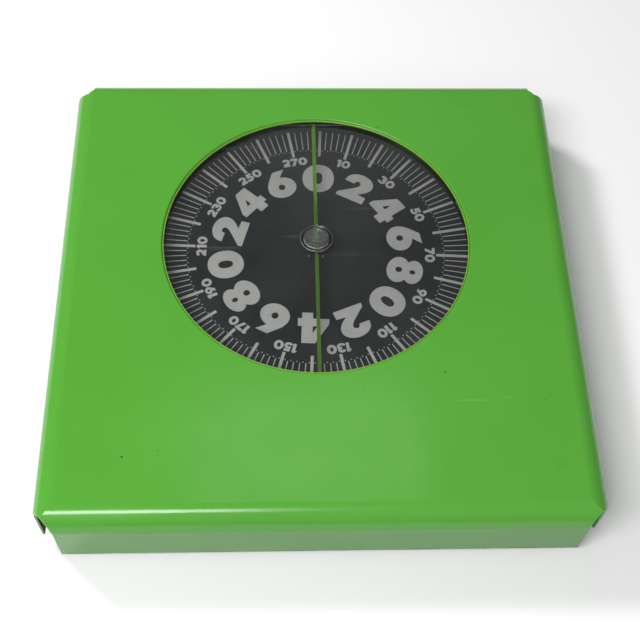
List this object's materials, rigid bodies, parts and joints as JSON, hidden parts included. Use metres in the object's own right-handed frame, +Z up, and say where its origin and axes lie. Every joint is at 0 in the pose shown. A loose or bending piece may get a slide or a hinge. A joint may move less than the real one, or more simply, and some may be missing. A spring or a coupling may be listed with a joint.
{
  "type": "dial platform scale",
  "caption": "Spring-and-lever weighing platform for the floor: a square sheet-metal top sinks under load and turns a numbered dial seen through a round window.",
  "frame": {"origin": "on the floor under the middle of the platform", "axes": "+Z up, +X to the right of the person standing on the platform, +Y towards the dial"},
  "size_m": [0.28, 0.28, 0.045],
  "materials": {
    "green_enamel": "gloss",
    "base_enamel": "gloss",
    "clear_plastic": "clear gloss",
    "frosted_plastic": "frosted",
    "index_paint": "gloss",
    "dial_black": "satin",
    "zinc_steel": "dull zinc plate",
    "spring_steel": "oiled",
    "brass": "satin",
    "black_plastic": "satin",
    "rubber": "matte"
  },
  "bodies": {
    "base": {"base_pan": "base_enamel", "foot_front_left": "rubber", "foot_front_right": "rubber", "foot_back_left": "rubber", "foot_back_right": "rubber", "fulcrum_front_left": "zinc_steel", "fulcrum_front_right": "zinc_steel", "fulcrum_back_left": "zinc_steel", "fulcrum_back_right": "zinc_steel", "fulcrum_pins": "zinc_steel", "spring_bridge": "zinc_steel", "dial_bridge": "zinc_steel", "shaft_cup": "brass", "rack_guide_front": "zinc_steel", "rack_guide_rear": "zinc_steel", "crank_bracket": "zinc_steel", "crank_pin": "zinc_steel", "crank_spring": "spring_steel", "base_rivets": "zinc_steel", "hold_down_studs_base": "zinc_steel"},
    "platform": {"platform_cover": "green_enamel", "dial_lens": "clear_plastic", "lens_boss": "frosted_plastic", "index_line": "index_paint", "lens_clip_1": "zinc_steel", "lens_clip_2": "zinc_steel", "lens_clip_3": "zinc_steel", "lens_clip_4": "zinc_steel", "support_front_left": "zinc_steel", "support_front_right": "zinc_steel", "support_back_left": "zinc_steel", "support_back_right": "zinc_steel", "hold_down_studs_cover": "zinc_steel", "hold_down_spring_front_left": "spring_steel", "hold_down_spring_front_right": "spring_steel", "hold_down_spring_back_left": "spring_steel", "hold_down_spring_back_right": "spring_steel"},
    "long_lever_left": {"long_lever_left": "zinc_steel", "load_pin_front_left": "zinc_steel"},
    "long_lever_right": {"long_lever_right": "zinc_steel", "load_pin_front_right": "zinc_steel"},
    "short_lever_left": {"short_lever_left": "zinc_steel", "load_pin_back_left": "zinc_steel"},
    "short_lever_right": {"short_lever_right": "zinc_steel", "load_pin_back_right": "zinc_steel"},
    "nose_plate": {"nose_plate": "zinc_steel", "main_spring": "spring_steel"},
    "bell_crank": {"bell_crank": "zinc_steel"},
    "rack": {"rack": "zinc_steel"},
    "dial": {"dial_disc": "dial_black", "dial_hub": "brass", "dial_shaft": "zinc_steel", "hub_rivets": "zinc_steel", "pinion": "brass"},
    "zero_wheel": {"zero_wheel": "black_plastic", "adjusting_stem": "zinc_steel"}
  },
  "joints": [
    {"name": "platform_press", "type": "slide", "parent": "base", "child": "platform", "axis": [0, 0, -1], "range_m": [0, 0.0012], "stiffness_N_per_m": 1037900, "springref_m": -0.00002, "deforming": ["hold_down_spring_front_left", "hold_down_spring_front_right", "hold_down_spring_back_left", "hold_down_spring_back_right"]},
    {"name": "nose_drop", "type": "slide", "parent": "base", "child": "nose_plate", "axis": [0, 0, -1], "range_m": [0, 0.00804], "deforming": ["main_spring"]},
    {"name": "crank_rock", "type": "hinge", "parent": "base", "child": "bell_crank", "pos_m": [0, 0.1065, 0.0105], "axis": [-1, 0, 0], "range_deg": [0, 46.07]},
    {"name": "rack_pull", "type": "slide", "parent": "base", "child": "rack", "axis": [0, 1, 0], "range_m": [0, 0.01263]},
    {"name": "dial_turn", "type": "hinge", "parent": "base", "child": "dial", "pos_m": [0, 0.0252, 0.032], "axis": [0, 0, 1], "range_deg": [0, 361.8]},
    {"name": "zero_adjust", "type": "hinge", "parent": "base", "child": "zero_wheel", "pos_m": [0, 0.125, 0.0397], "axis": [0, 0, 1], "range_deg": [-360, 360]},
    {"name": "long_lever_left_tilt", "type": "hinge", "parent": "base", "child": "long_lever_left", "pos_m": [-0.108, -0.12, 0.012], "axis": [-1, 0, 0], "range_deg": [0, 1.88]},
    {"name": "short_lever_left_tilt", "type": "hinge", "parent": "base", "child": "short_lever_left", "pos_m": [-0.112, 0.12, 0.012], "axis": [1, 0, 0], "range_deg": [0, 1.88]},
    {"name": "long_lever_right_tilt", "type": "hinge", "parent": "base", "child": "long_lever_right", "pos_m": [0.108, -0.12, 0.012], "axis": [-1, 0, 0], "range_deg": [0, 1.88]},
    {"name": "short_lever_right_tilt", "type": "hinge", "parent": "base", "child": "short_lever_right", "pos_m": [0.112, 0.12, 0.012], "axis": [1, 0, 0], "range_deg": [0, 1.88]}
  ],
  "couplings": [
    {"joint": "nose_drop", "follows": "platform_press", "ratio": 6.6667},
    {"joint": "crank_rock", "follows": "platform_press", "rad_per_m": 666.67},
    {"joint": "rack_pull", "follows": "platform_press", "ratio": 10.472},
    {"joint": "dial_turn", "follows": "platform_press", "rad_per_m": 5236},
    {"joint": "long_lever_left_tilt", "follows": "platform_press", "rad_per_m": 27.211},
    {"joint": "short_lever_left_tilt", "follows": "platform_press", "rad_per_m": 27.211},
    {"joint": "long_lever_right_tilt", "follows": "platform_press", "rad_per_m": 27.211},
    {"joint": "short_lever_right_tilt", "follows": "platform_press", "rad_per_m": 27.211}
  ]
}
